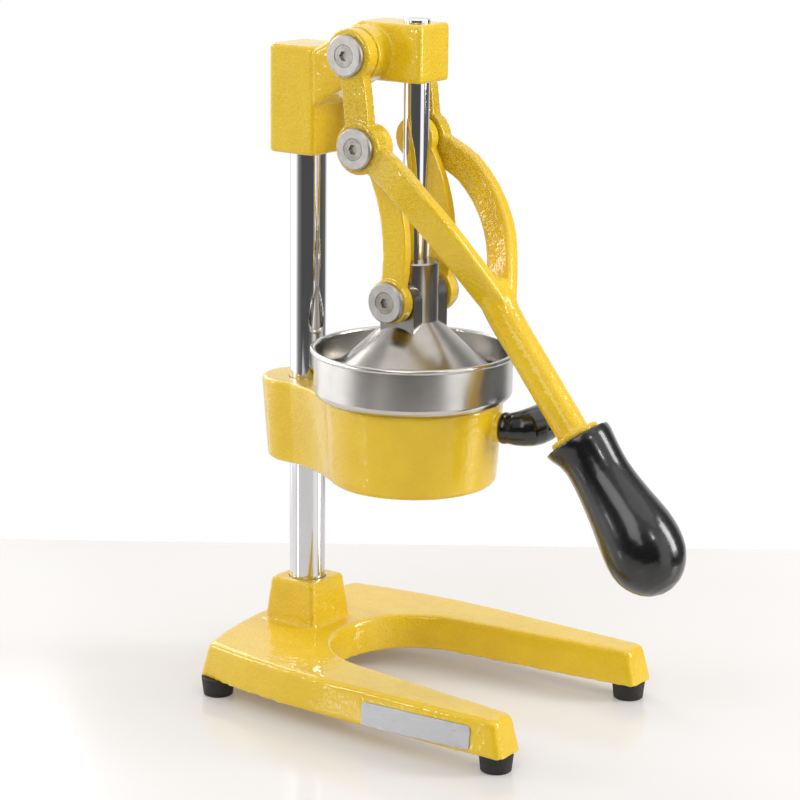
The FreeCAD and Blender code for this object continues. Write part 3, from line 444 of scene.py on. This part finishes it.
@dataclass(frozen=True)
class BrushedPlate:
    """Thin stainless plate brushed along its length: long straight lines."""

    name: str = "brushed_stainless_plate"
    line_mm: float = 0.22
    line_depth_mm: float = 0.006
    squeeze: float = 0.02
    edge_mm: float = 0.25

    def make(self) -> bpy.types.Material:
        """Build the material.

        Returns:
            The material.
        """
        tree = ShaderTree(self.name)
        split = tree.add(Kind.SPLIT, links={"Vector": tree.place()})
        # Y is squeezed fifty times, which draws each grain of noise out along the plate.
        drawn = tree.add(Kind.MATH, {"operation": "MULTIPLY", 1: self.squeeze}, {0: split.outputs["Y"]})
        axes = {"X": split.outputs["X"], "Y": drawn.outputs[0], "Z": split.outputs["Z"]}
        along = tree.add(Kind.JOIN, links=axes)
        lines = tree.noise(self.line_mm, 3.0, along.outputs["Vector"], 0.6)
        colour = tree.blend(lines, "C4C6C8", "A3A5A8")
        rough = tree.spread(lines, 0.26, 0.4)
        normal = tree.bump(lines, self.line_depth_mm, tree.softened(self.edge_mm))
        return tree.finish({"Metallic": 1.0, "Anisotropic": 0.5},
                           {"Base Color": colour, "Roughness": rough, "Normal": normal})


@dataclass(frozen=True)
class TableTop:
    """Polished white table top: reads nearly white, with a soft shadow and a faint reflection."""

    name: str = "polished_white_table"
    tone: str = "E0DCD9"
    light: str = "E5E2E0"
    mottle_mm: float = 300.0
    roughness: float = 0.16
    glow: float = 0.12

    def make(self) -> bpy.types.Material:
        """Build the material.

        Returns:
            The material.
        """
        tree = ShaderTree(self.name)
        mottle = tree.spread(tree.noise(self.mottle_mm, 2.0), 0.0, 1.0)
        colour = tree.blend(mottle, self.tone, self.light)
        settings = {"Roughness": self.roughness, "Specular IOR Level": 0.5}
        surface = tree.add(Kind.PRINCIPLED, settings, {"Base Color": colour})
        light = tree.add(Kind.EMISSION, {"Color": (1.0, 1.0, 1.0, 1.0), "Strength": 1.0})
        # A share of plain white lifts the table to the photograph's white without more lamps.
        mixed = tree.add(Kind.MIX_SHADER, {0: self.glow},
                         {1: surface.outputs["BSDF"], 2: light.outputs["Emission"]})
        tree.add(Kind.OUTPUT, links={"Surface": mixed.outputs["Shader"]})
        return tree.material


class Finish(Enum):
    """Finishes of the parts."""

    ENAMEL = Enamel()
    LEVER_ENAMEL = Enamel("stove_enamel_on_coarse_casting", coarse_round="link_pivot_screws")
    CHROME = ChromeBar()
    BOWL = TurnedMetal("spun_stainless_sheet", "D2CFCB", "C3C0BC", 0.35, 0.0012, 0.2, 0.27)
    BELL = TurnedMetal("turned_cast_aluminium", "B0ABA5", "9B9690", 0.5, 0.0016, 0.18, 0.26)
    ZINC = PlatedSteel("zinc_plated_washer", "BCB8B4", "A9A5A1", 0.38, 0.5)
    SCREW = PlatedSteel("plated_screw_steel", "ACA8A0", "8E8A83", 0.32, 0.44)
    BRONZE = PlatedSteel("sintered_bronze", "B58A4A", "8C6A38", 0.35, 0.5)
    PHENOLIC = Moulding("pressed_phenolic", "0C0C0D", "070707", 0.16, 0.24, 0.5, 16.0, 0.03)
    WORN_PHENOLIC = Moulding("hand_worn_phenolic", "0C0C0D", "070707", 0.2, 0.28, 0.5, 16.0, 0.02, 0.11)
    RUBBER = Moulding("moulded_rubber", "242120", "181616", 0.5, 0.65, 0.0, 0.9, 0.02)


PART_FINISHES = {
    "column": Finish.CHROME, "plunger_rod": Finish.CHROME, "juice_bowl": Finish.BOWL,
    "strainer_cone": Finish.BOWL, "juice_funnel": Finish.BOWL, "pressing_bell": Finish.BELL,
    "head_pivot_washers": Finish.ZINC, "link_pivot_washers": Finish.ZINC,
    "bell_pivot_washers": Finish.ZINC, "bell_pivot_spacers": Finish.ZINC, "column_bolt_washer": Finish.ZINC,
    "foot_screws": Finish.SCREW, "column_bolt": Finish.SCREW, "head_set_screws": Finish.SCREW,
    "holder_set_screw": Finish.SCREW, "counter_handle_stud": Finish.SCREW, "rod_set_screw": Finish.SCREW,
    "head_pivot_screws": Finish.SCREW, "link_pivot_screws": Finish.SCREW, "bell_pivot_screws": Finish.SCREW,
    "link_stubs": Finish.SCREW, "head_pivot_bushes": Finish.BRONZE, "link_pivot_bushes": Finish.BRONZE,
    "bell_pivot_bushes": Finish.BRONZE, "rubber_feet": Finish.RUBBER, "base": Finish.ENAMEL,
    "top_head": Finish.ENAMEL, "bowl_holder": Finish.ENAMEL, "lever": Finish.LEVER_ENAMEL,
    "link_left": Finish.ENAMEL, "link_right": Finish.ENAMEL, "lever_grip": Finish.WORN_PHENOLIC,
    "counter_handle": Finish.PHENOLIC,
}


class PackedParts:
    """The CAD nodes, each given its real finish."""

    def __init__(self, frame: dict) -> None:
        """Keep the frame.
        """
        self.nodes = frame["nodes"]
        self.materials = {finish: finish.value.make() for finish in Finish}

    def build(self) -> None:
        """Assign the finishes."""
        for name, node in self.nodes.items():
            material = self.materials[PART_FINISHES[name]]
            for slot in node.material_slots:
                slot.material = material
            LOG.info("%s finished in %s", name, material.name)


@dataclass(frozen=True)
class Skin:
    """A part's real surface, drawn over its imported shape: soft edges, and the lumps of the mould."""

    node: str
    body: str
    slot: str
    voxel_mm: float
    rounds: int
    # Pairs of width and height in millimetres.
    lumps: tuple[tuple[float, float], ...] = ()
    # Lumps sink the surface a little more than they raise it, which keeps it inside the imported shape.
    sink: float = 0.6

    def build(self, parts: PackedParts) -> bpy.types.Object:
        """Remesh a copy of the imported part, soften it and raise its lumps.

        Args:
            parts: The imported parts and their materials.

        Returns:
            The skin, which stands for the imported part.
        """
        piece = bpy.data.objects.new(self.node + "_skin", parts.nodes[self.node].data.copy())
        bpy.context.scene.collection.objects.link(piece)
        mesh = piece.modifiers.new("even_mesh", "REMESH")
        mesh.mode = "VOXEL"
        mesh.voxel_size = self.voxel_mm * MM
        soft = piece.modifiers.new("soft_edges", "SMOOTH")
        soft.factor = 0.5
        soft.iterations = self.rounds
        for index, (width_mm, depth_mm) in enumerate(self.lumps):
            texture = bpy.data.textures.new("%s_lumps_%d" % (self.node, index), "CLOUDS")
            texture.noise_scale = width_mm * MM
            texture.noise_depth = 1
            raised = piece.modifiers.new("lumps_%d" % index, "DISPLACE")
            raised.texture = texture
            raised.texture_coords = "LOCAL"
            raised.strength = depth_mm * MM
            raised.mid_level = self.sink
        evaluated = piece.evaluated_get(bpy.context.evaluated_depsgraph_get())
        piece.data = bpy.data.meshes.new_from_object(evaluated)
        piece.modifiers.clear()
        for face in piece.data.polygons:
            face.use_smooth = True
        piece.data.materials.clear()
        piece.data.materials.append(parts.materials[PART_FINISHES[self.node]])
        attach(piece, self.body)
        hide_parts(self.node)
        LOG.info("%s has a skin of %d faces", self.node, len(piece.data.polygons))
        return piece


SKINS = (
    Skin("lever", "lever", "yellow_enamel", 0.8, 5, ((9.0, 0.2), (2.2, 0.24))),
    Skin("link_right", "links", "yellow_enamel", 0.7, 5, ((9.0, 0.2), (2.2, 0.22))),
    Skin("link_left", "links", "yellow_enamel", 0.7, 5, ((9.0, 0.2), (2.2, 0.22))),
    Skin("top_head", "frame", "yellow_enamel", 0.9, 6, ((12.0, 0.2), (2.4, 0.1))),
    Skin("base", "frame", "yellow_enamel", 1.25, 6, ((14.0, 0.3), (3.0, 0.3))),
    Skin("bowl_holder", "frame", "yellow_enamel", 0.9, 7, ((12.0, 0.2), (2.4, 0.22))),
    Skin("lever_grip", "lever", "black_bakelite", 0.9, 14),
    Skin("counter_handle", "frame", "black_bakelite", 0.7, 12),
)


@dataclass(frozen=True)
class SidePlate:
    """The thin plate on the left leg's side, left bare."""

    length: float = 84.5 * MM
    height: float = 16.0 * MM
    thickness: float = 0.8 * MM
    corner: float = 3.2 * MM
    rim: float = 0.25 * MM
    centre_y: float = -73.3 * MM
    centre_z: float = 21.9 * MM
    tilt: float = math.radians(-1.3)
    leg_front_y: float = -132.2 * MM
    leg_front_x: float = -94.6 * MM
    leg_top_z: float = 36.5 * MM
    splay: float = 2.6 / 132.2
    draft: float = 2.4 / 24.0
    corner_steps: int = 6
    sunk: float = 0.15 * MM

    def outline(self, inset: float) -> list[tuple[float, float]]:
        """Give the plate's rounded outline.

        Args:
            inset: How far inside the full size.

        Returns:
            Points along and up the plate.
        """
        half_l, half_h = self.length / 2 - inset, self.height / 2 - inset
        radius = self.corner - inset
        points = []
        for quarter, (side, rise) in enumerate(((1, 1), (-1, 1), (-1, -1), (1, -1))):
            for step in range(self.corner_steps + 1):
                angle = math.pi / 2 * (quarter + step / self.corner_steps)
                points.append((side * (half_l - radius) + radius * math.cos(angle),
                               rise * (half_h - radius) + radius * math.sin(angle)))
        return points

    def on_leg(self, along: float, up: float, out: float) -> Vector:
        """Put a point of the plate on the leg's sloping side.

        Args:
            along: Distance from the plate's middle, to the front.
            up: Distance up from its middle.
            out: Distance off the leg.

        Returns:
            The place in the frame.
        """
        y = self.centre_y - along * math.cos(self.tilt) - up * math.sin(self.tilt)
        z = self.centre_z + up * math.cos(self.tilt) - along * math.sin(self.tilt)
        face = self.leg_front_x - self.splay * (y - self.leg_front_y) - self.draft * (self.leg_top_z - z)
        return Vector((face - out, y + press_axis(), z))

    def build(self) -> bpy.types.Object:
        """Build the plate as a thin sheet with a broken edge.

        Returns:
            The plate.
        """
        mesh = bmesh.new()
        levels = ((0.0, -self.sunk), (0.0, self.thickness - self.rim), (self.rim, self.thickness))
        rings = [[mesh.verts.new(self.on_leg(x, y, out)) for x, y in self.outline(inset)]
                 for inset, out in levels]
        for lower, upper in zip(rings, rings[1:]):
            for index in range(len(lower)):
                after = (index + 1) % len(lower)
                mesh.faces.new((lower[index], lower[after], upper[after], upper[index]))
        mesh.faces.new(rings[-1])
        mesh.faces.new(list(reversed(rings[0])))
        bmesh.ops.recalc_face_normals(mesh, faces=mesh.faces)
        data = bpy.data.meshes.new("side_plate")
        mesh.to_mesh(data)
        mesh.free()
        plate = bpy.data.objects.new("side_plate", data)
        bpy.context.scene.collection.objects.link(plate)
        data.materials.append(BrushedPlate().make())
        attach(plate, "frame")
        LOG.info("side plate built")
        return plate


@dataclass(frozen=True)
class Camera:
    """The photograph's view, found from the press's own lines in it."""

    place: tuple[float, float, float] = (-1.38341, -0.96866, 0.63259)
    azimuth: float = -54.71
    elevation: float = 14.11
    roll: float = 0.69
    lens: float = 116.23
    sensor: float = 36.0
    reach: float = 20.0

    def build(self) -> None:
        """Make the camera the scene's own."""
        turn, lift, lean = (math.radians(v) for v in (self.azimuth, self.elevation, self.roll))
        level = Vector((-math.sin(turn), math.cos(turn), 0)) * math.cos(lift)
        forward = level - Vector((0, 0, math.sin(lift)))
        right = forward.cross(Vector((0, 0, 1))).normalized()
        up = right.cross(forward)
        across = right * math.cos(lean) + up * math.sin(lean)
        upward = up * math.cos(lean) - right * math.sin(lean)
        data = bpy.data.cameras.new("photo_camera")
        data.lens = self.lens
        data.sensor_width = self.sensor
        data.clip_end = self.reach
        camera = bpy.data.objects.new("photo_camera", data)
        basis = Matrix((across, upward, -forward)).transposed().to_4x4()
        place = Vector(self.place) + Vector((0, press_axis(), 0))
        camera.matrix_world = Matrix.Translation(place) @ basis
        bpy.context.scene.collection.objects.link(camera)
        bpy.context.scene.camera = camera
        LOG.info("camera set")


@dataclass(frozen=True)
class Softbox:
    """One area light aimed at the press."""

    name: str
    place: tuple[float, float, float]
    size: tuple[float, float]
    watts: float
    aim: tuple[float, float, float] = (0.0, 0.0, 0.24)

    def build(self) -> None:
        """Hang the light."""
        data = bpy.data.lights.new(self.name, "AREA")
        data.shape = "RECTANGLE"
        data.size, data.size_y = self.size
        data.energy = self.watts
        lamp = bpy.data.objects.new(self.name, data)
        lamp.location = self.place
        way = Vector(self.aim) - Vector(self.place)
        lamp.rotation_euler = way.to_track_quat("-Z", "Y").to_euler()
        lamp.visible_camera = False
        bpy.context.scene.collection.objects.link(lamp)
        LOG.info("light %s hung", self.name)


@dataclass(frozen=True)
class Studio:
    """White table, white surround and soft lights, with the room's dark side behind the camera."""

    view_azimuth: float = 215.0
    table_back: float = 0.34
    table_front: float = 0.82
    table_half_width: float = 0.62
    room_level: float = 0.42
    ceiling_level: float = 0.4
    # How far up a mirror has to look, as the sine of the angle, to see the ceiling begin and fill its view.
    ceiling_edge: tuple[float, float] = (0.45, 0.75)
    # The room as a mirror sees it: degrees from the camera's side, to the right, and how bright.
    room: tuple[tuple[float, float], ...] = (
        (-180.0, 0.95), (-146.0, 0.85), (-138.0, 1.5), (-86.0, 1.5), (-66.0, 0.3), (-40.0, 0.09),
        (34.0, 0.09), (42.0, 1.3), (66.0, 1.3), (74.0, 0.08), (130.0, 0.16), (146.0, 0.9), (180.0, 0.95),
    )
    lights: tuple[Softbox, ...] = (
        Softbox("key_left", (-1.5, -0.5, 1.3), (0.9, 1.1), 8.0),
        Softbox("rake_left", (-0.75, 1.4, 0.9), (0.35, 0.7), 5.5),
        Softbox("top", (0.1, -0.1, 1.7), (2.2, 2.2), 12.0),
        Softbox("front_strip", (0.9, -1.5, 0.8), (0.5, 1.3), 22.0),
        Softbox("back_rim", (0.7, 1.5, 1.1), (0.9, 0.9), 9.0),
        Softbox("spark_left", (-1.5, 0.9, 0.4), (0.2, 0.2), 2.2),
        Softbox("spark_front", (-0.6, -1.6, 1.3), (0.16, 0.16), 2.0),
    )

    def table(self) -> None:
        """Lay the table top, square to the camera."""
        turn = math.radians(self.view_azimuth)
        towards = Vector((math.cos(turn), math.sin(turn), 0))
        aside = Vector((-towards.y, towards.x, 0)) * self.table_half_width
        middle = Vector((0, press_axis(), 0))
        mesh = bmesh.new()
        corners = [middle + towards * reach + aside * side
                   for reach, side in ((self.table_front, -1), (self.table_front, 1),
                                       (-self.table_back, 1), (-self.table_back, -1))]
        mesh.faces.new([mesh.verts.new(corner) for corner in corners])
        data = bpy.data.meshes.new("table")
        mesh.to_mesh(data)
        mesh.free()
        table = bpy.data.objects.new("table", data)
        bpy.context.scene.collection.objects.link(table)
        data.materials.append(TableTop().make())

    def surround(self) -> None:
        """Light the room: white to the camera, plain to matt surfaces, bright and dark to mirrors."""
        world = bpy.data.worlds.new("studio")
        world.use_nodes = True
        bpy.context.scene.world = world
        tree = world.node_tree
        tree.nodes.clear()

        def add(kind: str, links: dict, **settings: object) -> bpy.types.Node:
            """Add a world node with its settings and links.

            Args:
                kind: Blender's name for the node.
                links: Input names or numbers, each with what feeds it.
                settings: Attributes of the node.

            Returns:
                The node.
            """
            node = tree.nodes.new(kind)
            for name, value in settings.items():
                setattr(node, name, value)
            for name, source in links.items():
                if isinstance(source, bpy.types.NodeSocket):
                    tree.links.new(source, node.inputs[name])
                else:
                    node.inputs[name].default_value = source
            return node

        way = add("ShaderNodeTexCoord", {}).outputs["Generated"]
        split = add("ShaderNodeSeparateXYZ", {0: way}).outputs
        turn = math.radians(self.view_azimuth)
        towards = (math.cos(turn), math.sin(turn), 0)
        aside = (-math.sin(turn), math.cos(turn), 0)
        ahead = add("ShaderNodeVectorMath", {0: way, 1: towards}, operation="DOT_PRODUCT").outputs["Value"]
        right = add("ShaderNodeVectorMath", {0: way, 1: aside}, operation="DOT_PRODUCT").outputs["Value"]
        angle = add("ShaderNodeMath", {0: right, 1: ahead}, operation="ARCTAN2")
        share = add("ShaderNodeMapRange", {0: angle.outputs[0], 1: -math.pi, 2: math.pi})
        ramp = add("ShaderNodeValToRGB", {0: share.outputs[0]})
        stops = ramp.color_ramp.elements
        brightest = max(level for angle, level in self.room)
        while len(stops) < len(self.room):
            stops.new(0.5)
        for stop, (degrees, level) in zip(stops, self.room):
            stop.position = degrees / 360 + 0.5
            stop.color = (level / brightest,) * 3 + (1.0,)
        # Overhead the room is one large white ceiling.
        ceiling = add("ShaderNodeMapRange", {0: split["Z"], 1: self.ceiling_edge[0], 2: self.ceiling_edge[1]})
        overhead = (self.ceiling_level,) * 3 + (1.0,)
        seen = add("ShaderNodeMix", {0: ceiling.outputs[0], 6: ramp.outputs[0], 7: overhead},
                   data_type="RGBA")
        mirrored = add("ShaderNodeBackground", {"Color": seen.outputs[2], "Strength": brightest})
        plain = add("ShaderNodeBackground", {"Color": (1.0, 1.0, 1.0, 1.0), "Strength": self.room_level})
        white = add("ShaderNodeBackground", {"Color": (1.0, 1.0, 1.0, 1.0), "Strength": 1.0})
        path = add("ShaderNodeLightPath", {}).outputs
        room = add("ShaderNodeMixShader",
                   {0: path["Is Glossy Ray"], 1: plain.outputs[0], 2: mirrored.outputs[0]})
        shown = add("ShaderNodeMixShader",
                    {0: path["Is Camera Ray"], 1: room.outputs[0], 2: white.outputs[0]})
        add("ShaderNodeOutputWorld", {"Surface": shown.outputs[0]})

    def build(self) -> None:
        """Set the studio up."""
        self.table()
        self.surround()
        for light in self.lights:
            light.build()
        bpy.context.scene.view_settings.view_transform = "Standard"
        LOG.info("studio set")


def main() -> None:
    """Build the looks in order."""
    logging.basicConfig(level=logging.INFO, format="%(name)s: %(message)s")
    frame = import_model()
    Camera().build()
    parts = PackedParts(frame)
    parts.build()
    for skin in SKINS:
        skin.build(parts)
    SidePlate().build()
    Studio().build()


if __name__ == "__main__":
    main()
